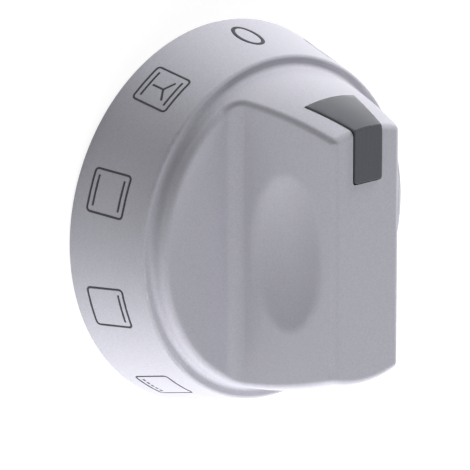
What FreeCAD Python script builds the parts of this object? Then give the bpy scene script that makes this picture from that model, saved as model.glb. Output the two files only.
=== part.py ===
import FreeCAD, Part
import math
import os

from FreeCAD import Vector

# An oven selector knob. The part frame has its origin at the centre of the back rim's plane:
# +Z runs along the switch shaft towards the user, +Y points at the pointer's end of the grip.
# All sizes are in millimetres and degrees.

# Whole knob, from the back rim to the front face
knob_height = 29.75

# Skirt: the tapered ring that carries the printed symbols
rim_radius = 27.0
skirt_height = 11.7
skirt_draft = 14.8
skirt_wall = 2.0
skirt_edge_round = 0.6
rim_round = 0.3

# Core: the barrel-shaped body that rises from the ledge, and whose upper part is cut to the grip
ledge_width = 1.65
ledge_root_round = 0.7
disc_rise = 2.1
core_front_radius = 17.66
core_bulge = 0.7
deck_wall = 2.0

# Grip: the bar across the disc
grip_width = 12.0
flank_draft = 11.5
grip_root_round = 2.2
grip_edge_round = 1.1
grip_wall = 2.0
face_wall = 2.0

# Finger scoops, one in each flank of the grip. Their softness is the share of the roundest rim that
# fits: at 1 the rim would meet the hollow halfway down.
scoop_length = 21.6
scoop_depth = 1.2
scoop_softness = 0.6
scoop_margin = 0.05

# Pointer insert: a dark L that stands a little proud of its slot in the front face and the end wall
pointer_width = 5.0
pointer_length = 7.4
pointer_tail_width = 8.8
pointer_drop = 7.4
pointer_thickness = 1.5
pointer_rise = 0.2
pointer_side_gap = 0.15
pointer_seat_gap = 0.05
pointer_edge_round = 0.15
pointer_bend_round = 0.5
pointer_corner_round = 0.5
pointer_backing = 1.2
peg_radius = 0.9
peg_spacing = 4.0
peg_drop = 4.8
peg_stub = 0.8

# Ribs inside the skirt
rib_count = 8
rib_thickness = 1.2
rib_start_radius = 17.0
rib_setback = 4.0

# Switch shaft that the knob is pushed onto
shaft_diameter = 6.0
shaft_across_flat = 4.6
shaft_clearance = 0.05
guide_clearance = 0.25

# Hub: the socket for the shaft, with a plate that is screwed to two bosses of the cap
hub_radius = 5.5
hub_setback = 1.6
hub_end_wall = 1.2
mouth_chamfer = 0.4
guide_length = 4.0
socket_length = 9.2
plate_thickness = 2.0
plate_radius = 8.5
ear_radius = 3.8
gusset_thickness = 1.4
gusset_gap = 0.2

# Bosses and screws
boss_height = 3.0
boss_radius = 2.8
screw_spacing = 26.0
screw_core_radius = 1.2
screw_length = 5.5
screw_hole_clearance = 0.35
screw_tip_room = 0.4
head_radius = 2.6
head_height = 1.7
head_round = 0.6
recess_length = 3.0
recess_width = 0.7
recess_depth = 0.9

# Steel band round the hub's mouth, and the leaf spring on the socket's flat
band_length = 4.0
band_thickness = 0.6
band_seat = 0.3
band_setback = 0.5
spring_length = 8.0
spring_width = 3.2
spring_thickness = 0.3
spring_bow = 0.35
spring_clearance = 0.05

# Heights and radii that follow from the sizes above
ledge_z = skirt_height
disc_z = ledge_z + disc_rise
front_z = knob_height
ledge_radius = rim_radius - skirt_height * math.tan(math.radians(skirt_draft))
core_base_radius = ledge_radius - ledge_width
under_disc_z = disc_z - deck_wall
under_ledge_z = ledge_z - deck_wall
plate_top_z = under_disc_z - boss_height
plate_z = plate_top_z - plate_thickness
socket_z = hub_setback + mouth_chamfer + guide_length
socket_end_z = socket_z + socket_length
hub_top_z = socket_end_z + hub_end_wall
shaft_radius = shaft_diameter / 2
guide_radius = shaft_radius + guide_clearance
dee_radius = shaft_radius + shaft_clearance
flat_y = -(shaft_across_flat - shaft_radius + shaft_clearance)
pocket_depth = pointer_thickness - pointer_rise
pointer_start_y = core_front_radius - pointer_length
pointer_back_z = front_z - pointer_drop
peg_z = front_z - peg_drop

# A scoop and its rounded rim fill the flat part of a flank, from the round at its root to the round
# at the front face, but for a margin
flank_length = (front_z - disc_z) / math.cos(math.radians(flank_draft))
round_share = math.tan(math.radians(45 - flank_draft / 2))
flat_length = flank_length - (grip_root_round + grip_edge_round) * round_share
scoop_reach = flat_length / 2 - scoop_margin
scoop_rim_round = scoop_softness * scoop_reach ** 2 / (4 * scoop_depth)
scoop_width = scoop_reach * (1 + math.sqrt(1 - scoop_softness))
flat_middle = flank_length / 2 + (grip_root_round - grip_edge_round) * round_share / 2
scoop_z = disc_z + flat_middle * math.cos(math.radians(flank_draft))

origin = Vector(0, 0, 0)
up = Vector(0, 0, 1)
far = 2 * rim_radius
same = 1e-3

# The core's outline is one arc: its chord runs from the ledge to the front face
chord_rise = front_z - ledge_z
chord_run = core_base_radius - core_front_radius
chord = math.hypot(chord_rise, chord_run)
arc_radius = (chord * chord / 4 + core_bulge * core_bulge) / (2 * core_bulge)
centre_back = arc_radius - core_bulge
arc_centre_r = (core_base_radius + core_front_radius) / 2 - centre_back * chord_rise / chord
arc_centre_z = (ledge_z + front_z) / 2 - centre_back * chord_run / chord


def core_radius(z, inset=0.0):
    """Radius at height z of the core's outline moved inwards by inset."""
    reach = arc_radius - inset
    return arc_centre_r + math.sqrt(reach * reach - (z - arc_centre_z) ** 2)


def flank_x(z, inset=0.0):
    """Half width of the grip at height z, with its flanks moved inwards by inset."""
    slope = math.radians(flank_draft)
    return grip_width / 2 + (front_z - z) * math.tan(slope) - inset / math.cos(slope)


def skirt_radius(z, inset=0.0):
    """Radius of the skirt's cone at height z, moved inwards by inset."""
    slope = math.radians(skirt_draft)
    return rim_radius - z * math.tan(slope) - inset / math.cos(slope)


def lathe(points):
    """Solid of revolution about Z from (radius, z) points."""
    wire = Part.makePolygon([Vector(r, 0, z) for r, z in points + points[:1]])
    return Part.Face(wire).revolve(origin, up, 360)


def core_body(inset, low, high):
    """The barrel of the core between two heights, moved inwards by inset."""
    mid = (low + high) / 2
    side = Part.Arc(
        Vector(core_radius(low, inset), 0, low),
        Vector(core_radius(mid, inset), 0, mid),
        Vector(core_radius(high, inset), 0, high),
    )
    rest = Part.makePolygon([
        Vector(core_radius(high, inset), 0, high),
        Vector(0, 0, high),
        Vector(0, 0, low),
        Vector(core_radius(low, inset), 0, low),
    ])
    wire = Part.Wire([side.toShape()] + rest.Edges)
    return Part.Face(wire).revolve(origin, up, 360)


def prism(points, start_y, length):
    """Prism along +Y from (x, z) points."""
    wire = Part.makePolygon([Vector(x, start_y, z) for x, z in points + points[:1]])
    return Part.Face(wire).extrude(Vector(0, length, 0))


def flank_slab(inset, low, high):
    """Everything between the grip's two flanks, from one height to another."""
    outline = [
        (-flank_x(low, inset), low),
        (flank_x(low, inset), low),
        (flank_x(high, inset), high),
        (-flank_x(high, inset), high),
    ]
    return prism(outline, -far, 2 * far)


def block(x0, x1, y0, y1, z0, z1):
    """Box between two corners."""
    return Part.makeBox(x1 - x0, y1 - y0, z1 - z0, Vector(x0, y0, z0))


def post(radius, z0, z1, x=0.0, y=0.0):
    """Upright cylinder between two heights."""
    return Part.makeCylinder(radius, z1 - z0, Vector(x, y, z0), up)


def edges_where(shape, test):
    """Edges whose points all pass the test."""
    found = []
    for edge in shape.Edges:
        first, last = edge.ParameterRange
        shares = (0.1, 0.35, 0.5, 0.65, 0.9)
        points = [edge.valueAt(first + share * (last - first)) for share in shares]
        if all(test(point) for point in points):
            found.append(edge)
    return found


def around(point):
    """Distance from the Z axis."""
    return math.hypot(point.x, point.y)


def on_core(point):
    return abs(around(point) - core_radius(point.z)) < same


def scoop_barrel(side, extra):
    """Barrel that sinks one scoop into a flank. Extra widens it, for the wall behind the scoop."""
    slope = math.radians(flank_draft)
    half_length = scoop_length / 2
    half_width = scoop_width / 2
    long_radius = (half_length ** 2 + scoop_depth ** 2) / (2 * scoop_depth)
    short_radius = (half_width ** 2 + scoop_depth ** 2) / (2 * scoop_depth)
    step = long_radius - short_radius
    short_radius += extra
    reach = 1.1 * math.sqrt(short_radius ** 2 - (short_radius - scoop_depth) ** 2)
    end = step + math.sqrt(short_radius ** 2 - reach ** 2)
    outline = Part.Arc(
        Vector(end, 0, -reach), Vector(step + short_radius, 0, 0), Vector(end, 0, reach)
    )
    rest = Part.makePolygon(
        [Vector(end, 0, reach), Vector(0, 0, reach), Vector(0, 0, -reach), Vector(end, 0, -reach)]
    )
    barrel = Part.Face(Part.Wire([outline.toShape()] + rest.Edges)).revolve(origin, up, 360)
    if side < 0:
        barrel.rotate(origin, up, 180)  # the seam stays on the side away from the knob
    away = long_radius - scoop_depth
    barrel.rotate(origin, Vector(0, 1, 0), -side * flank_draft)
    barrel.translate(Vector(
        side * (flank_x(scoop_z) + away * math.cos(slope)), 0, scoop_z + away * math.sin(slope)
    ))
    return barrel


def beside_grip(side):
    """Room on one side of the grip, above the disc."""
    top = front_z + face_wall
    outline = [
        (side * flank_x(disc_z), disc_z),
        (side * far, disc_z),
        (side * far, top),
        (side * flank_x(top), top),
    ]
    return prism(outline, -far, 2 * far)


def on_grip_edge(point):
    """True on the edges between the core's outline and the grip or disc, and round the front."""
    return point.z > ledge_z + same and (on_core(point) or abs(point.z - front_z) < same)


def on_grip_root(point):
    return abs(point.z - disc_z) < same and abs(abs(point.x) - flank_x(disc_z)) < same


def on_scoop_rim(point):
    """True on a flank's plane, within the scoop's length and width."""
    flat = abs(abs(point.x) - flank_x(point.z)) < same
    inside = abs(point.z - scoop_z) < scoop_width / 2 + same
    return flat and inside and abs(point.y) < scoop_length / 2 + same


def scoop_cutter(side):
    """What one scoop takes out of its flank, with the scoop's rounded rim."""
    half_length = scoop_length / 2 + scoop_rim_round
    low = scoop_z - scoop_width / 2 - scoop_rim_round
    high = scoop_z + scoop_width / 2 + scoop_rim_round
    under = 2 * scoop_depth
    outline = [
        (side * flank_x(low), low),
        (side * flank_x(high), high),
        (side * flank_x(high, under), high),
        (side * flank_x(low, under), low),
    ]
    slab = prism(outline, -half_length, 2 * half_length)
    scooped = slab.cut(scoop_barrel(side, 0))
    return slab.cut(scooped.makeFillet(scoop_rim_round, edges_where(scooped, on_scoop_rim)))


def on_skirt_edge(point):
    return abs(point.z - ledge_z) < same and abs(around(point) - ledge_radius) < same


def on_ledge_root(point):
    return abs(point.z - ledge_z) < same and on_core(point)


def cap_outside():
    """The cap as a full body, with its rounded edges and scoops."""
    skirt = lathe([(0, 0), (rim_radius, 0), (ledge_radius, ledge_z), (0, ledge_z)])
    skirt = skirt.makeFillet(skirt_edge_round, edges_where(skirt, on_skirt_edge))
    body = core_body(0, under_ledge_z, front_z)
    for side in (-1, 1):
        body = body.cut(beside_grip(side)).cut(scoop_cutter(side))
    body = body.makeFillet(grip_root_round, edges_where(body, on_grip_root))
    body = body.makeFillet(grip_edge_round, edges_where(body, on_grip_edge))
    body = skirt.fuse(body)
    return body.makeFillet(ledge_root_round, edges_where(body, on_ledge_root))


def cap_hollow():
    """The room inside the skirt and inside the grip, less the ribs and the screw bosses."""
    skirt_room = lathe([
        (0, -deck_wall),
        (skirt_radius(-deck_wall, skirt_wall), -deck_wall),
        (skirt_radius(under_ledge_z, skirt_wall), under_ledge_z),
        (core_base_radius - skirt_wall, under_ledge_z),
        (core_base_radius - skirt_wall, under_disc_z),
        (0, under_disc_z),
    ])
    low = under_disc_z - deck_wall
    high = front_z - face_wall
    grip_room = core_body(grip_wall, low, high).common(flank_slab(grip_wall, low, high))
    for side in (-1, 1):
        grip_room = grip_room.cut(scoop_barrel(side, grip_wall))
    grip_room = grip_room.cut(pointer_space(pointer_backing, pocket_depth + pointer_backing))
    room = skirt_room.fuse(grip_room)
    for index in range(rib_count):
        rib = block(rib_start_radius, far, -rib_thickness / 2, rib_thickness / 2, rib_setback, disc_z)
        rib.rotate(origin, up, (index + 0.5) * 360 / rib_count)
        room = room.cut(rib)
    for side in (-1, 1):
        room = room.cut(post(boss_radius, plate_top_z, disc_z, side * screw_spacing / 2))
    return room


def pointer_half(z):
    """Half width of the pointer at height z: it flares from the front face down the end wall."""
    flare = (pointer_tail_width - pointer_width) / 2 / pointer_drop
    return pointer_width / 2 + (front_z - z) * flare


def pointer_space(margin, depth):
    """Room that the pointer takes, widened by margin, down to a depth below the cap's surface."""
    low = pointer_back_z - margin
    high = front_z + face_wall
    wide = pointer_half(low) + margin
    narrow = pointer_half(high) + margin
    outline = [(-wide, low), (wide, low), (narrow, high), (-narrow, high)]
    start = pointer_start_y - margin
    strip = prism(outline, start, far)
    strip = strip.makeFillet(pointer_corner_round, edges_where(
        strip, lambda p: abs(p.y - start) < same and abs(abs(p.x) - pointer_half(p.z) - margin) < same
    ))
    strip = strip.common(block(-far, far, 0, far, front_z - depth, high))
    tail = prism(outline, 0, far).cut(core_body(depth, ledge_z, high + face_wall))
    return strip.fuse(tail).removeSplitter()


def peg(radius, side, end_inset):
    """Round peg of the pointer, along -Y through the end wall."""
    start_y = core_radius(peg_z, pocket_depth - pointer_thickness / 2)
    end_y = core_radius(peg_z, end_inset)
    return Part.makeCylinder(
        radius, start_y - end_y, Vector(side * peg_spacing / 2, start_y, peg_z), Vector(0, -1, 0)
    )


def knob_cap():
    """Silver outer moulding: skirt, ledge, disc and hollow grip in one piece."""
    cap = cap_outside().cut(cap_hollow())
    cap = cap.cut(pointer_space(pointer_side_gap, pocket_depth))
    for side in (-1, 1):
        hole = peg(peg_radius + pointer_seat_gap, side, pocket_depth + 2 * pointer_backing)
        cap = cap.cut(hole)
        pilot_end = plate_z + screw_length + screw_tip_room
        pilot = post(screw_core_radius, plate_top_z - same, pilot_end, side * screw_spacing / 2)
        cap = cap.cut(pilot)
    return cap.makeFillet(rim_round, edges_where(cap, lambda p: abs(p.z) < same))


def on_pointer_front(point):
    return abs(point.z - front_z - pointer_rise) < same


def on_pointer_end(point):
    return abs(around(point) - core_radius(point.z, -pointer_rise)) < same


def pointer_insert():
    """Dark L-shaped pointer: front strip, flared tail down the end wall and two pegs."""
    space = pointer_space(0, pocket_depth - pointer_seat_gap)
    insert = space.common(core_body(-pointer_rise, ledge_z, front_z + pointer_rise))
    bend = edges_where(insert, lambda p: on_pointer_front(p) and on_pointer_end(p))
    insert = insert.makeFillet(pointer_bend_round, bend)
    rim = edges_where(insert, lambda p: on_pointer_front(p) or on_pointer_end(p))
    insert = insert.makeFillet(pointer_edge_round, rim)
    for side in (-1, 1):
        insert = insert.fuse(peg(peg_radius, side, pocket_depth + pointer_backing + peg_stub))
    return insert.removeSplitter()


def socket_room():
    """Room for the shaft: chamfered mouth, round guide, then the D with its spring pocket."""
    mouth = lathe([
        (0, hub_setback - mouth_chamfer),
        (guide_radius + 2 * mouth_chamfer, hub_setback - mouth_chamfer),
        (guide_radius, hub_setback + mouth_chamfer),
        (0, hub_setback + mouth_chamfer),
    ])
    guide = post(guide_radius, hub_setback, socket_z)
    dee = post(dee_radius, socket_z, socket_end_z)
    dee = dee.cut(block(-dee_radius, dee_radius, -far, flat_y, socket_z, socket_end_z))
    half = spring_width / 2 + spring_clearance
    start = spring_start_z() - spring_clearance
    end = spring_start_z() + spring_length + spring_clearance
    pocket = block(-half, half, flat_y - spring_thickness - spring_clearance, 0, start, end)
    return mouth.fuse([guide, dee, pocket])


def spring_start_z():
    """Height where the leaf spring starts, centred on the socket's length."""
    return socket_z + (socket_length - spring_length) / 2


def hub_plate():
    """Plate with two ears, stiffened by four gussets above it."""
    half_spacing = screw_spacing / 2
    plate = post(plate_radius, plate_z, plate_top_z)
    plate = plate.fuse(block(-half_spacing, half_spacing, -ear_radius, ear_radius, plate_z, plate_top_z))
    for side in (-1, 1):
        plate = plate.fuse(post(ear_radius, plate_z, plate_top_z, side * half_spacing))
    gusset_top = under_disc_z - gusset_gap
    for turn in range(4):
        gusset = Part.Face(Part.makePolygon([
            Vector(0, -gusset_thickness / 2, plate_z),
            Vector(plate_radius, -gusset_thickness / 2, plate_z),
            Vector(plate_radius, -gusset_thickness / 2, plate_top_z),
            Vector(hub_radius, -gusset_thickness / 2, gusset_top),
            Vector(0, -gusset_thickness / 2, gusset_top),
            Vector(0, -gusset_thickness / 2, plate_z),
        ])).extrude(Vector(0, gusset_thickness, 0))
        gusset.rotate(origin, up, turn * 90)
        plate = plate.fuse(gusset)
    for side in (-1, 1):
        hole_radius = screw_core_radius + screw_hole_clearance
        plate = plate.cut(post(hole_radius, plate_z, plate_top_z, side * half_spacing))
    return plate


def shaft_hub():
    """Moulded hub: tube with the shaft socket, and the plate that holds it in the cap."""
    seat_low = hub_setback + band_setback
    seat = post(hub_radius, seat_low, seat_low + band_length)
    seat = seat.cut(post(hub_radius - band_seat, seat_low, seat_low + band_length))
    below = post(hub_radius, hub_setback, seat_low)
    below = below.cut(post(hub_radius - band_seat, hub_setback, seat_low))
    tube = post(hub_radius, hub_setback, hub_top_z).cut(seat).cut(below)
    hub = tube.fuse(hub_plate()).removeSplitter()
    return hub.cut(socket_room())


def hub_band():
    """Steel band pressed round the hub's mouth."""
    inner = hub_radius - band_seat
    low = hub_setback + band_setback
    high = low + band_length
    return post(inner + band_thickness, low, high).cut(post(inner, low, high))


def shaft_spring():
    """Bowed leaf spring that presses on the shaft's flat."""
    start = spring_start_z()
    middle = start + spring_length / 2
    end = start + spring_length
    floor_y = flat_y - spring_thickness - spring_clearance
    x = -spring_width / 2
    back = Part.Arc(
        Vector(x, floor_y, start), Vector(x, floor_y + spring_bow, middle), Vector(x, floor_y, end)
    )
    top_y = floor_y + spring_thickness
    front = Part.Arc(
        Vector(x, top_y, end), Vector(x, top_y + spring_bow, middle), Vector(x, top_y, start)
    )
    tip = Part.makeLine(Vector(x, floor_y, end), Vector(x, top_y, end))
    foot = Part.makeLine(Vector(x, top_y, start), Vector(x, floor_y, start))
    wire = Part.Wire([back.toShape(), tip, front.toShape(), foot])
    return Part.Face(wire).extrude(Vector(spring_width, 0, 0))


def hub_screw(side):
    """One pan-head screw with a cross recess. Its thread is left as the plain core."""
    x = side * screw_spacing / 2
    low = plate_z - head_height
    head = post(head_radius, low, plate_z, x)
    head = head.makeFillet(head_round, edges_where(head, lambda p: abs(p.z - low) < same))
    screw = head.fuse(post(screw_core_radius, plate_z, plate_z + screw_length, x))
    for long_x, long_y in ((recess_length, recess_width), (recess_width, recess_length)):
        slot = block(x - long_x / 2, x + long_x / 2, -long_y / 2, long_y / 2, low, low + recess_depth)
        screw = screw.cut(slot)
    return screw.removeSplitter()


def hub_screws():
    """The two identical screws, as one group of separate solids."""
    return Part.makeCompound([hub_screw(-1), hub_screw(1)])


def export():
    """Writes one STEP file for each piece."""
    os.makedirs("parts", exist_ok=True)
    pieces = {
        "knob_cap": knob_cap(),
        "pointer_insert": pointer_insert(),
        "shaft_hub": shaft_hub(),
        "hub_screws": hub_screws(),
        "hub_band": hub_band(),
        "shaft_spring": shaft_spring(),
    }
    for name, shape in pieces.items():
        shape.exportStep(f"parts/{name}.step")
        print(name, len(shape.Solids), "solids", round(shape.Volume, 1), "mm3", shape.isValid())


export()
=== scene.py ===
import math

import bmesh
import bpy
from mathutils import Matrix, Vector
from mathutils.bvhtree import BVHTree


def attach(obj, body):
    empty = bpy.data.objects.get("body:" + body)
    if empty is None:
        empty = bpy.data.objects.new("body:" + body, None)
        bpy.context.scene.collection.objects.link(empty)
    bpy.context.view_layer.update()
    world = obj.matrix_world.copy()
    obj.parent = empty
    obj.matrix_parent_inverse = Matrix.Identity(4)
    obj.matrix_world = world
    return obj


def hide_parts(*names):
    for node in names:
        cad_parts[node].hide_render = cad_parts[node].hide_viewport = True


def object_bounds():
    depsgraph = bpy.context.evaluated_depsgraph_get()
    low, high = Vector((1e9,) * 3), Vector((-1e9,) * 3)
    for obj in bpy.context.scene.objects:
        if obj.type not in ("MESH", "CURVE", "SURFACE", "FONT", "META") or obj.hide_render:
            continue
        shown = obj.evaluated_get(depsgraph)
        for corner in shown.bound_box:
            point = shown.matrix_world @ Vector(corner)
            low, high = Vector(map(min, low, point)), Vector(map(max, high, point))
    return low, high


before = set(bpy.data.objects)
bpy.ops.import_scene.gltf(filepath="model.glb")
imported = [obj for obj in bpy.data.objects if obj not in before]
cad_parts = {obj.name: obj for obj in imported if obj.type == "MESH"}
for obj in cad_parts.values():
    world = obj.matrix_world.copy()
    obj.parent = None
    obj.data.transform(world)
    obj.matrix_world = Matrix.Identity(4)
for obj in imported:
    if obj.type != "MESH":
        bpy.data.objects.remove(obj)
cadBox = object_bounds()
mm = 0.001
upward = Vector((0, 0, 1))
print("frame loaded:", ", ".join(sorted(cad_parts)))


# A socket that takes part in plain arithmetic: each operator adds a Math node to its tree.
class Wire:
    def __init__(self, maker, socket):
        self.maker = maker
        self.socket = socket

    def __add__(self, other):
        return self.maker.maths("ADD", self, other)

    def __radd__(self, other):
        return self.maker.maths("ADD", other, self)

    def __sub__(self, other):
        return self.maker.maths("SUBTRACT", self, other)

    def __rsub__(self, other):
        return self.maker.maths("SUBTRACT", other, self)

    def __mul__(self, other):
        return self.maker.maths("MULTIPLY", self, other)

    def __rmul__(self, other):
        return self.maker.maths("MULTIPLY", other, self)

    def __truediv__(self, other):
        return self.maker.maths("DIVIDE", self, other)

    def __pow__(self, other):
        return self.maker.maths("POWER", self, other)

    def __gt__(self, other):
        return self.maker.maths("GREATER_THAN", self, other)


# Adds nodes to one tree. A socket is named by its identifier, its name or its number.
class Maker:
    def __init__(self, tree):
        self.tree = tree

    def pick(self, sockets, key):
        if isinstance(key, int):
            return sockets[key]
        for socket in sockets:
            if socket.identifier == key:
                return socket
        return sockets[key]

    def add(self, kind, settings=None, values=None, output=0):
        node = self.tree.nodes.new(kind)
        for key, value in (settings or {}).items():
            setattr(node, key, value)
        for key, value in (values or {}).items():
            if isinstance(value, Wire):
                self.tree.links.new(value.socket, self.pick(node.inputs, key))
            else:
                self.pick(node.inputs, key).default_value = value
        if not node.outputs:
            return node
        return Wire(self, self.pick(node.outputs, output))

    def maths(self, operation, *values):
        return self.add("ShaderNodeMath", {"operation": operation}, dict(enumerate(values)))

    def axis(self, place, name):
        return self.add("ShaderNodeSeparateXYZ", None, {"Vector": place}, name)

    def mixColour(self, share, first, second):
        sockets = {"Factor_Float": share, "A_Color": first, "B_Color": second}
        return self.add("ShaderNodeMix", {"data_type": "RGBA"}, sockets, "Result_Color")

    def noise(self, place, scale, detail=2.0, roughness=0.5):
        values = {"Vector": place, "Scale": scale, "Detail": detail, "Roughness": roughness}
        return self.add("ShaderNodeTexNoise", None, values)

    def stretch(self, place, scale):
        return self.add("ShaderNodeMapping", {"vector_type": "POINT"}, {"Vector": place, "Scale": scale})

    def bump(self, height, strength, distance):
        values = {"Height": height, "Strength": strength, "Distance": distance}
        return self.add("ShaderNodeBump", None, values)

    def smoothStep(self, value, low, high):
        settings = {"interpolation_type": "SMOOTHSTEP"}
        return self.add("ShaderNodeMapRange", settings, {"Value": value, "From Min": low, "From Max": high})


# A material with an empty tree: fill adds its nodes and returns the Principled shader's values.
def makeMaterial(name, fill):
    material = bpy.data.materials.new(name)
    material.use_nodes = True
    material.node_tree.nodes.clear()
    maker = Maker(material.node_tree)
    place = maker.add("ShaderNodeTexCoord", output="Object")
    shader = maker.add("ShaderNodeBsdfPrincipled", None, fill(maker, place))
    maker.add("ShaderNodeOutputMaterial", None, {"Surface": shader})
    return material


def rgba(colour, share=1.0):
    return tuple(channel * share for channel in colour) + (1.0,)


# A colour between two shades of one colour
def shaded(maker, tone, look):
    low, high = look["shades"]
    return maker.mixColour(tone, rgba(look["colour"], low), rgba(look["colour"], high))


# How far a noise strays from its middle value, which is one half, times a share
def swing(noise, share):
    return share * (noise - 0.5)


# The looks. Sizes and heights are in metres, a scale is in noise cells per metre, and shades are the
# darkest and the lightest share of the colour.

# Satin silver paint on the cap's outside
silverPaint = {
    "colour": (0.435, 0.432, 0.485),
    "shades": (0.90, 1.10),
    "metallic": 0.08,
    "roughness": 0.45,
    "flakeSize": 0.09 * mm,
    "flakeRoughness": 0.05,
    "cloudScale": 60.0,
    "cloudRoughness": 0.04,
    "peelSize": 0.9 * mm,
    "peelHeight": 0.0012 * mm,
    "lacquer": 0.1,
    "lacquerRoughness": 0.12,
}


def silverPaintNodes(maker, place):
    flake = maker.add(
        "ShaderNodeTexVoronoi", None, {"Vector": place, "Scale": 1 / silverPaint["flakeSize"]}, "Color"
    )
    glint = maker.add("ShaderNodeSeparateColor", None, {"Color": flake}, "Red")
    cloud = maker.noise(place, silverPaint["cloudScale"])
    peel = maker.noise(place, 1 / silverPaint["peelSize"], detail=1.0)
    cloudy = silverPaint["roughness"] + swing(cloud, silverPaint["cloudRoughness"])
    return {
        "Base Color": shaded(maker, glint, silverPaint),
        "Metallic": silverPaint["metallic"],
        "Roughness": cloudy + swing(glint, silverPaint["flakeRoughness"]),
        "Coat Weight": silverPaint["lacquer"],
        "Coat Roughness": silverPaint["lacquerRoughness"],
        "Normal": maker.bump(peel, 1.0, silverPaint["peelHeight"]),
    }


# The bare moulding inside the cap, with a mist of paint that reached round the rim
bareMoulding = {
    "colour": (0.24, 0.24, 0.25),
    "shades": (0.88, 1.12),
    "roughness": 0.55,
    "mistStart": 0.1 * mm,
    "mistHeight": 3.5 * mm,
    "mistRagged": 1.2,
    "mistScale": 420.0,
    "mistSmooths": 0.12,
    "flowScale": 120.0,
    "flowStretch": (1.0, 1.0, 0.3),
    "grainSize": 0.25 * mm,
    "grainHeight": 0.004 * mm,
    "grainStrength": 0.6,
    "grainRoughness": 0.08,
}


def bareMouldingNodes(maker, place):
    patches = maker.noise(place, bareMoulding["mistScale"], detail=3.0)
    ragged = bareMoulding["mistRagged"] * bareMoulding["mistHeight"]
    edge = maker.axis(place, "Z") + swing(patches, ragged)
    mist = 1 - maker.smoothStep(edge, bareMoulding["mistStart"], bareMoulding["mistHeight"])
    stretched = maker.stretch(place, bareMoulding["flowStretch"])
    flow = maker.noise(stretched, bareMoulding["flowScale"], detail=3.0)
    plain = shaded(maker, flow, bareMoulding)
    grain = maker.noise(place, 1 / bareMoulding["grainSize"])
    grainy = bareMoulding["roughness"] + swing(grain, bareMoulding["grainRoughness"])
    return {
        "Base Color": maker.mixColour(mist, plain, rgba(silverPaint["colour"])),
        "Metallic": mist * silverPaint["metallic"],
        "Roughness": grainy - bareMoulding["mistSmooths"] * mist,
        "Normal": maker.bump(grain, bareMoulding["grainStrength"], bareMoulding["grainHeight"]),
    }


# The dark pointer in its slot: fine lines along it, under a gloss
darkPointer = {
    "colour": (0.026, 0.030, 0.044),
    "shades": (0.65, 1.35),
    "roughness": 0.24,
    "gloss": 0.8,
    "glossRoughness": 0.18,
    "lineScale": 3500.0,
    "lineStretch": (1.0, 0.06, 0.06),
    "lineShare": 0.5,
    "grainSize": 0.12 * mm,
    "grainHeight": 0.0015 * mm,
    "grainStrength": 0.5,
    "grainRoughness": 0.10,
}


def darkPointerNodes(maker, place):
    grain = maker.noise(place, 1 / darkPointer["grainSize"])
    stretched = maker.stretch(place, darkPointer["lineStretch"])
    lines = maker.noise(stretched, darkPointer["lineScale"], detail=1.0)
    tone = (1 - darkPointer["lineShare"]) * grain + darkPointer["lineShare"] * lines
    return {
        "Base Color": shaded(maker, tone, darkPointer),
        "Metallic": 0.0,
        "Roughness": darkPointer["roughness"] + swing(grain, darkPointer["grainRoughness"]),
        "Coat Weight": darkPointer["gloss"],
        "Coat Roughness": darkPointer["glossRoughness"],
        "Normal": maker.bump(grain, darkPointer["grainStrength"], darkPointer["grainHeight"]),
    }


# Printed ink of the symbols
ink = {
    "colour": (0.030, 0.030, 0.040),
    "shades": (0.8, 1.25),
    "roughness": 0.5,
    "mottleSize": 0.08 * mm,
    "mottleRoughness": 0.1,
}


def inkNodes(maker, place):
    mottle = maker.noise(place, 1 / ink["mottleSize"])
    return {
        "Base Color": shaded(maker, mottle, ink),
        "Metallic": 0.0,
        "Roughness": ink["roughness"] + swing(mottle, ink["mottleRoughness"]),
    }


# Black nylon of the hub
nylon = {
    "colour": (0.022, 0.022, 0.024),
    "shades": (0.7, 1.6),
    "roughness": 0.48,
    "flowScale": 240.0,
    "flowStretch": (1.0, 1.0, 0.25),
    "flowRoughness": 0.16,
    "grainSize": 0.2 * mm,
    "grainHeight": 0.006 * mm,
    "grainStrength": 0.7,
    "grainRoughness": 0.08,
}


def nylonNodes(maker, place):
    grain = maker.noise(place, 1 / nylon["grainSize"], detail=3.0, roughness=0.6)
    flow = maker.noise(maker.stretch(place, nylon["flowStretch"]), nylon["flowScale"], detail=3.0)
    flowing = nylon["roughness"] + swing(flow, nylon["flowRoughness"])
    return {
        "Base Color": shaded(maker, flow, nylon),
        "Metallic": 0.0,
        "Roughness": flowing + swing(grain, nylon["grainRoughness"]),
        "Normal": maker.bump(grain, nylon["grainStrength"], nylon["grainHeight"]),
    }


# Steels: the way their lines run is a stretch of the noise along each axis
steels = {
    "band": {
        "colour": (0.50, 0.50, 0.51),
        "shades": (0.72, 1.22),
        "roughness": 0.32,
        "stretch": (0.15, 0.15, 2.5),
        "size": 0.12 * mm,
    },
    "spring": {
        "colour": (0.34, 0.35, 0.39),
        "shades": (0.72, 1.22),
        "roughness": 0.28,
        "stretch": (2.0, 1.0, 0.12),
        "size": 0.10 * mm,
    },
    "screw": {
        "colour": (0.58, 0.60, 0.62),
        "shades": (0.72, 1.22),
        "roughness": 0.26,
        "stretch": (1.0, 1.0, 1.0),
        "size": 0.30 * mm,
    },
}
steelWear = {
    "lineHeight": 0.003 * mm,
    "lineStrength": 0.4,
    "lineRoughness": 0.22,
    "cloudScale": 500.0,
    "cloudShare": 0.3,
    "cloudRoughness": 0.10,
}


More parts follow.
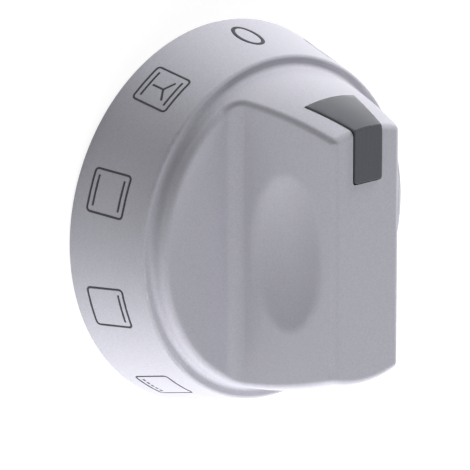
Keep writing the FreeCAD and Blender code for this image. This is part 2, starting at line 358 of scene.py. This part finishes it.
def steelNodes(maker, place, steel):
    lines = maker.noise(maker.stretch(place, steel["stretch"]), 1 / steel["size"], detail=3.0)
    cloud = maker.noise(place, steelWear["cloudScale"], detail=3.0)
    tone = (1 - steelWear["cloudShare"]) * lines + steelWear["cloudShare"] * cloud
    lined = steel["roughness"] + swing(lines, steelWear["lineRoughness"])
    return {
        "Base Color": shaded(maker, tone, steel),
        "Metallic": 1.0,
        "Roughness": lined + swing(cloud, steelWear["cloudRoughness"]),
        "Normal": maker.bump(lines, steelWear["lineStrength"], steelWear["lineHeight"]),
    }


materials = {
    "silverPaint": makeMaterial("silverPaint", silverPaintNodes),
    "bareMoulding": makeMaterial("bareMoulding", bareMouldingNodes),
    "darkPointer": makeMaterial("darkPointer", darkPointerNodes),
    "printedInk": makeMaterial("printedInk", inkNodes),
    "blackNylon": makeMaterial("blackNylon", nylonNodes),
}
for steelName, steel in steels.items():
    materials[steelName] = makeMaterial(
        steelName + "Steel", lambda maker, place: steelNodes(maker, place, steel)
    )
print("materials made:", len(materials))


# A finished piece: one mesh object at the origin, riding on the knob
def finishPiece(piece, slotName, *nodeNames):
    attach(piece, "root")
    if nodeNames:
        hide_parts(*nodeNames)


# The smooth skin of a solid: a merged copy of its mesh, sharp only at its real edges
skin = {
    "sharpEdge": math.radians(28),
    "mergeDistance": 0.0005 * mm,
    "faceWeight": 60,
}


def skinOf(nodeName, pieceName, pieceMaterials, chooseMaterial=None):
    shape = bmesh.new()
    shape.from_mesh(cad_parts[nodeName].data)
    bmesh.ops.remove_doubles(shape, verts=shape.verts, dist=skin["mergeDistance"])
    for edge in shape.edges:
        edge.smooth = not edge.is_manifold or edge.calc_face_angle() < skin["sharpEdge"]
    for face in shape.faces:
        face.smooth = True
    if chooseMaterial:
        chooseMaterial(shape)
    mesh = bpy.data.meshes.new(pieceName)
    shape.to_mesh(mesh)
    shape.free()
    for material in pieceMaterials:
        mesh.materials.append(material)
    piece = bpy.data.objects.new(pieceName, mesh)
    bpy.context.scene.collection.objects.link(piece)
    weighting = piece.modifiers.new("evenShading", "WEIGHTED_NORMAL")
    weighting.keep_sharp = True
    weighting.weight = skin["faceWeight"]
    return piece


# Paint reaches a face of the cap if the steepest ray that still leaves its front meets nothing.
painting = {
    "rises": (0.3, 0.8, 2.0),
    "leastRise": 0.05,
    "start": 0.02 * mm,
}


def paintOutside(shape):
    shape.normal_update()
    tree = BVHTree.FromBMesh(shape)
    for face in shape.faces:
        middle = face.calc_center_median()
        start = middle + face.normal * painting["start"]
        ways = [(face.normal + upward * rise).normalized() for rise in painting["rises"]]
        leaving = [way for way in ways if min(way.z, way.dot(face.normal)) > painting["leastRise"]]
        painted = leaving and tree.ray_cast(start, leaving[-1])[0] is None
        face.material_index = 0 if painted else 1


cap = skinOf("knob_cap", "painted_cap", [materials["silverPaint"], materials["bareMoulding"]], paintOutside)
finishPiece(cap, "silver_paint", "knob_cap")
pointer = skinOf("pointer_insert", "pointer", [materials["darkPointer"]])
finishPiece(pointer, "dark_pointer", "pointer_insert")
hub = skinOf("shaft_hub", "hub", [materials["blackNylon"]])
finishPiece(hub, "black_nylon", "shaft_hub")
screws = skinOf("hub_screws", "screws", [materials["screw"]])
finishPiece(screws, "zinc_screw", "hub_screws")
band = skinOf("hub_band", "band", [materials["band"]])
finishPiece(band, "band_steel", "hub_band")
spring = skinOf("shaft_spring", "leaf_spring", [materials["spring"]])
finishPiece(spring, "spring_steel", "shaft_spring")
print("skins made from the solids")


# Printed symbols. They are drawn flat, in metres, with up towards the back rim, and then wrapped on
# the skirt's cone. The angle of each symbol's middle is counted from +X, seen from the front.
symbols = {
    "rimRadius": 27.0 * mm,
    "draft": math.radians(14.8),
    "middleHeight": 5.237 * mm,
    "lineWidth": 0.30 * mm,
    "zeroLineWidth": 0.55 * mm,
    "inkHeight": 0.012 * mm,
    "inkSink": 0.03 * mm,
    "pointSpacing": 0.16 * mm,
    "boxHalfWidth": 2.95 * mm,
    "boxHalfHeight": 2.85 * mm,
    "boxCorner": 0.5 * mm,
    "cornerSteps": 5,
    "barHalfLength": 2.13 * mm,
    "barOffset": 2.04 * mm,
    "dashCount": 5,
    "dashShare": 0.58,
    "zeroHalfWidth": 1.6 * mm,
    "zeroHalfHeight": 2.6 * mm,
    "ringSteps": 28,
    "fanSpoke": 1.85 * mm,
    "fanDrop": 0.33 * mm,
    "smallSpoke": 1.15 * mm,
    "smallDrop": 0.2 * mm,
    "starSpoke": 1.38 * mm,
    "starSpokes": 6,
    "ringRadius": 1.55 * mm,
    "lampRadius": 0.95 * mm,
    "firstAngle": 88.1,
    "seenSteps": (0.0, 37.2, 73.4, 109.7, 146.7),
    "hiddenStep": 35.55,
    "hiddenCount": 5,
}
# The lamp symbol, as shares of its radius: heights of its parts, and half widths of the two lines
lampSymbol = {
    "bulbHeight": 0.35,
    "baseHeight": -0.95,
    "baseHalf": 0.45,
    "capHeight": -1.4,
    "capHalf": 0.3,
}


def arcPoints(middle, radiusX, radiusY, startDegrees, endDegrees, steps):
    turns = [math.radians(startDegrees + (endDegrees - startDegrees) * i / steps) for i in range(steps + 1)]
    return [(middle[0] + radiusX * math.cos(t), middle[1] + radiusY * math.sin(t)) for t in turns]


# Each stroke is (points, closed, line width).
def ringStroke(middle, radiusX, radiusY, width):
    return (arcPoints(middle, radiusX, radiusY, 0, 360, symbols["ringSteps"])[:-1], True, width)


def lineStroke(*points):
    return (list(points), False, symbols["lineWidth"])


# A box with rounded corners, one quarter turn after another
def boxStroke():
    corner = symbols["boxCorner"]
    insideX = symbols["boxHalfWidth"] - corner
    insideY = symbols["boxHalfHeight"] - corner
    points = []
    for turn, (signX, signY) in enumerate(((1, 1), (-1, 1), (-1, -1), (1, -1))):
        middle = (signX * insideX, signY * insideY)
        points += arcPoints(middle, corner, corner, 90 * turn, 90 * turn + 90, symbols["cornerSteps"])
    return (points, True, symbols["lineWidth"])


def barStroke(side):
    height = side * symbols["barOffset"]
    return lineStroke((-symbols["barHalfLength"], height), (symbols["barHalfLength"], height))


def dashStrokes(side):
    half = symbols["barHalfLength"]
    count = symbols["dashCount"]
    pitch = 2 * half / (count - 1 + symbols["dashShare"])
    dash = pitch * symbols["dashShare"]
    starts = [-half + pitch * index for index in range(count)]
    height = side * symbols["barOffset"]
    return [lineStroke((start, height), (start + dash, height)) for start in starts]


# Lines from one point, the first of them upwards, which is at 90 degrees
def spokes(count, length, drop):
    middle = (0.0, -drop)
    tips = arcPoints(middle, length, length, 90, 450, count)[:-1]
    return [lineStroke(middle, tip) for tip in tips]


def fanStrokes(length, drop):
    return spokes(3, length, drop)


def lampStrokes():
    radius = symbols["lampRadius"]
    middle = (0.0, lampSymbol["bulbHeight"] * radius)
    strokes = [ringStroke(middle, radius, radius, symbols["lineWidth"])]
    for part in ("base", "cap"):
        half = lampSymbol[part + "Half"] * radius
        height = lampSymbol[part + "Height"] * radius
        strokes.append(lineStroke((-half, height), (half, height)))
    return strokes


def symbolList():
    small = symbols["smallSpoke"]
    ring = ringStroke((0, 0), symbols["ringRadius"], symbols["ringRadius"], symbols["lineWidth"])
    zero = ringStroke((0, 0), symbols["zeroHalfWidth"], symbols["zeroHalfHeight"], symbols["zeroLineWidth"])
    return [
        [zero],
        [boxStroke(), barStroke(1), barStroke(-1)] + fanStrokes(symbols["fanSpoke"], symbols["fanDrop"]),
        [boxStroke(), barStroke(1), barStroke(-1)],
        [boxStroke(), barStroke(-1)],
        [boxStroke()] + dashStrokes(1),
        [boxStroke()] + dashStrokes(1) + fanStrokes(small, symbols["smallDrop"]),
        [boxStroke(), ring] + fanStrokes(small, 0.0),
        [boxStroke(), barStroke(-1)] + fanStrokes(small, 0.0),
        [boxStroke()] + spokes(symbols["starSpokes"], symbols["starSpoke"], 0.0),
        [boxStroke()] + lampStrokes(),
    ]


def symbolAngles():
    seen = [symbols["firstAngle"] + step for step in symbols["seenSteps"]]
    hidden = [seen[-1] + symbols["hiddenStep"] * (index + 1) for index in range(symbols["hiddenCount"])]
    return seen + hidden


def drawStrokes():
    mesh = bpy.data.meshes.new("strokes")
    points = []
    edges = []
    angles = []
    widths = []
    for angle, strokes in zip(symbolAngles(), symbolList()):
        for outline, closed, width in strokes:
            first = len(points)
            count = len(outline)
            points += [(x, y, 0.0) for x, y in outline]
            edges += [(first + i, first + i + 1) for i in range(count - 1)]
            if closed:
                edges.append((first + count - 1, first))
            angles += [math.radians(angle)] * count
            widths += [width] * count
    mesh.from_pydata(points, edges, [])
    for name, values in (("symbolAngle", angles), ("strokeWidth", widths)):
        mesh.attributes.new(name, "FLOAT", "POINT").data.foreach_set("value", values)
    strokeObject = bpy.data.objects.new("strokes", mesh)
    bpy.context.scene.collection.objects.link(strokeObject)
    return strokeObject


# Geometry nodes that turn strokes into ink on the cone. Lengths on the flat drawing stay true.
def printTree():
    tree = bpy.data.node_groups.new("printOnSkirt", "GeometryNodeTree")
    tree.interface.new_socket("Strokes", in_out="INPUT", socket_type="NodeSocketGeometry")
    for name in ("Rim Radius", "Draft", "Middle Height", "Ink Height", "Ink Sink", "Point Spacing"):
        tree.interface.new_socket(name, in_out="INPUT", socket_type="NodeSocketFloat")
    tree.interface.new_socket("Ink", in_out="INPUT", socket_type="NodeSocketMaterial")
    tree.interface.new_socket("Print", in_out="OUTPUT", socket_type="NodeSocketGeometry")
    maker = Maker(tree)
    group = tree.nodes.new("NodeGroupInput")

    def given(name):
        return Wire(maker, group.outputs[name])

    def attribute(name):
        return maker.add("GeometryNodeInputNamedAttribute", {"data_type": "FLOAT"}, {"Name": name})

    curves = maker.add("GeometryNodeMeshToCurve", None, {"Mesh": given("Strokes")})
    even = maker.add(
        "GeometryNodeResampleCurve", {"mode": "LENGTH"}, {"Curve": curves, "Length": given("Point Spacing")}
    )
    flat = maker.add("GeometryNodeSetCurveNormal", {"mode": "Z_UP"}, {"Curve": even})
    section = maker.add("GeometryNodeCurvePrimitiveQuadrilateral", None, {"Width": 1.0, "Height": 1.0})
    ribbon = maker.add("GeometryNodeCurveToMesh", None, {
        "Curve": flat,
        "Profile Curve": section,
        "Scale": attribute("strokeWidth"),
        "Fill Caps": True,
    })
    place = maker.add("GeometryNodeInputPosition")
    x = maker.axis(place, "X")
    sine = maker.maths("SINE", given("Draft"))
    cosine = maker.maths("COSINE", given("Draft"))
    apexHeight = given("Rim Radius") * cosine / sine
    slant = (apexHeight - given("Middle Height")) / cosine + maker.axis(place, "Y")
    reach = (x * x + slant * slant) ** 0.5
    turn = attribute("symbolAngle") - maker.maths("ARCTAN2", x, slant) / sine
    outside = maker.axis(place, "Z") > 0.0
    lift = outside * (given("Ink Height") + given("Ink Sink")) - given("Ink Sink")
    radius = reach * sine + lift * cosine
    height = apexHeight - reach * cosine + lift * sine
    wrapped = maker.add("ShaderNodeCombineXYZ", None, {
        "X": radius * maker.maths("COSINE", turn),
        "Y": radius * maker.maths("SINE", turn),
        "Z": height,
    })
    placed = maker.add("GeometryNodeSetPosition", None, {"Geometry": ribbon, "Position": wrapped})
    real = maker.add("GeometryNodeRealizeInstances", None, {"Geometry": placed})
    inked = maker.add("GeometryNodeSetMaterial", None, {"Geometry": real, "Material": given("Ink")})
    maker.add("NodeGroupOutput", None, {"Print": inked})
    return tree


def plainMeshOf(source, pieceName):
    evaluated = source.evaluated_get(bpy.context.evaluated_depsgraph_get())
    mesh = bpy.data.meshes.new_from_object(evaluated)
    mesh.name = pieceName
    piece = bpy.data.objects.new(pieceName, mesh)
    bpy.context.scene.collection.objects.link(piece)
    bpy.data.objects.remove(source)
    return piece


def printSymbols():
    strokeObject = drawStrokes()
    tree = printTree()
    modifier = strokeObject.modifiers.new("print", "NODES")
    modifier.node_group = tree
    values = {
        "Rim Radius": symbols["rimRadius"],
        "Draft": symbols["draft"],
        "Middle Height": symbols["middleHeight"],
        "Ink Height": symbols["inkHeight"],
        "Ink Sink": symbols["inkSink"],
        "Point Spacing": symbols["pointSpacing"],
        "Ink": materials["printedInk"],
    }
    for item in tree.interface.items_tree:
        if item.name in values:
            modifier[item.identifier] = values[item.name]
    return plainMeshOf(strokeObject, "printed_symbols")


finishPiece(printSymbols(), "symbol_print")
print("symbols printed:", len(symbolList()))


# Floor: pale, lit by the lamps, and white to the camera except in the knob's shadow. It lies a hair
# below the rim, so that the two faces don't coincide. Its white is a glow, which is always there, and
# a shaded share, which the lamps have to light.
floorLook = {
    "radius": 1.6,
    "segments": 96,
    "colour": (0.80, 0.80, 0.80),
    "drop": 0.05 * mm,
    "glow": 0.84,
    "shaded": 0.30,
}


def seenDirectly(maker):
    paths = [maker.add("ShaderNodeLightPath", output=name) for name in (
        "Is Camera Ray", "Is Glossy Ray", "Is Transmission Ray"
    )]
    return maker.maths("MAXIMUM", maker.maths("MAXIMUM", paths[0], paths[1]), paths[2])


def makeFloor():
    shape = bmesh.new()
    bmesh.ops.create_circle(
        shape, cap_ends=True, segments=floorLook["segments"], radius=floorLook["radius"]
    )
    bmesh.ops.translate(shape, verts=shape.verts, vec=(0, 0, -floorLook["drop"]))
    mesh = bpy.data.meshes.new("floor")
    shape.to_mesh(mesh)
    shape.free()
    material = bpy.data.materials.new("paleFloor")
    material.use_nodes = True
    material.node_tree.nodes.clear()
    maker = Maker(material.node_tree)
    plain = maker.add("ShaderNodeBsdfDiffuse", None, {"Color": rgba(floorLook["colour"])})
    glow = maker.add("ShaderNodeEmission", None, {"Color": rgba((1, 1, 1)), "Strength": floorLook["glow"]})
    shade = maker.add("ShaderNodeBsdfDiffuse", None, {"Color": rgba((1, 1, 1), floorLook["shaded"])})
    white = maker.add("ShaderNodeAddShader", None, {0: glow, 1: shade})
    mixed = maker.add("ShaderNodeMixShader", None, {0: seenDirectly(maker), 1: plain, 2: white})
    maker.add("ShaderNodeOutputMaterial", None, {"Surface": mixed})
    mesh.materials.append(material)
    floor = bpy.data.objects.new("floor", mesh)
    bpy.context.scene.collection.objects.link(floor)


# World: an even grey for light, and white where it is seen
worldLook = {
    "light": 0.28,
    "seen": 1.0,
}


def makeWorld():
    world = bpy.data.worlds.new("studio")
    world.use_nodes = True
    world.node_tree.nodes.clear()
    maker = Maker(world.node_tree)
    light = maker.add("ShaderNodeBackground", None, {"Strength": worldLook["light"]})
    seen = maker.add("ShaderNodeBackground", None, {"Strength": worldLook["seen"]})
    mixed = maker.add("ShaderNodeMixShader", None, {0: seenDirectly(maker), 1: light, 2: seen})
    maker.add("ShaderNodeOutputWorld", None, {"Surface": mixed})
    bpy.context.scene.world = world


# Soft boxes round the knob: the way to each in degrees (from +X towards +Y, and up), its width and
# height in metres, and its power in watts. Most stand low, as white screens beside a table would,
# and gloss doesn't mirror them.
softBoxes = {
    "distance": 0.6,
    "boxes": {
        "behindPointer": {"azimuth": 47, "rise": 5, "size": (0.30, 0.10), "power": 5.4},
        "belowGrip": {"azimuth": 270, "rise": 5, "size": (0.30, 0.10), "power": 2.4},
        "leftBelowGrip": {"azimuth": 240, "rise": 5, "size": (0.30, 0.10), "power": 1.9},
        "highBelowGrip": {"azimuth": 270, "rise": 30, "size": (0.30, 0.20), "power": 2.0},
        "topBelowGrip": {"azimuth": 270, "rise": 60, "size": (0.30, 0.20), "power": 0.8},
    },
}


def makeLamps():
    aim = Vector((0, 0, 0.5 * (cadBox[0].z + cadBox[1].z)))
    for name, box in softBoxes["boxes"].items():
        light = bpy.data.lights.new(name, "AREA")
        light.shape = "RECTANGLE"
        light.size, light.size_y = box["size"]
        light.energy = box["power"]
        azimuth = math.radians(box["azimuth"])
        rise = math.radians(box["rise"])
        level = math.cos(rise)
        way = Vector((level * math.cos(azimuth), level * math.sin(azimuth), math.sin(rise)))
        lamp = bpy.data.objects.new(name, light)
        lamp.location = aim + way * softBoxes["distance"]
        lamp.rotation_euler = (aim - lamp.location).to_track_quat("-Z", "Y").to_euler()
        lamp.visible_glossy = False
        bpy.context.scene.collection.objects.link(lamp)


# Camera: a long lens that looks at the knob's left front, with the pointer's end of the grip up
cameraLook = {
    "place": (-0.38928, 0.16710, 0.43662),
    "target": (-0.004262, -0.000958, 0.008173),
    "up": (0.1881, 0.9604, -0.2054),
    "lens": 337.4,
    "sensor": 36.0,
    "clip": (0.01, 10.0),
}


def makeCamera():
    data = bpy.data.cameras.new("camera")
    data.lens = cameraLook["lens"]
    data.sensor_width = cameraLook["sensor"]
    data.clip_start, data.clip_end = cameraLook["clip"]
    camera = bpy.data.objects.new("camera", data)
    place = Vector(cameraLook["place"])
    back = (place - Vector(cameraLook["target"])).normalized()
    right = Vector(cameraLook["up"]).cross(back).normalized()
    up = back.cross(right)
    turned = Matrix((right, up, back)).transposed().to_4x4()
    camera.matrix_world = Matrix.Translation(place) @ turned
    bpy.context.scene.collection.objects.link(camera)
    bpy.context.scene.camera = camera


makeFloor()
makeWorld()
makeLamps()
makeCamera()
bpy.context.scene.view_settings.view_transform = "Standard"
print("stage, lamps and camera set")
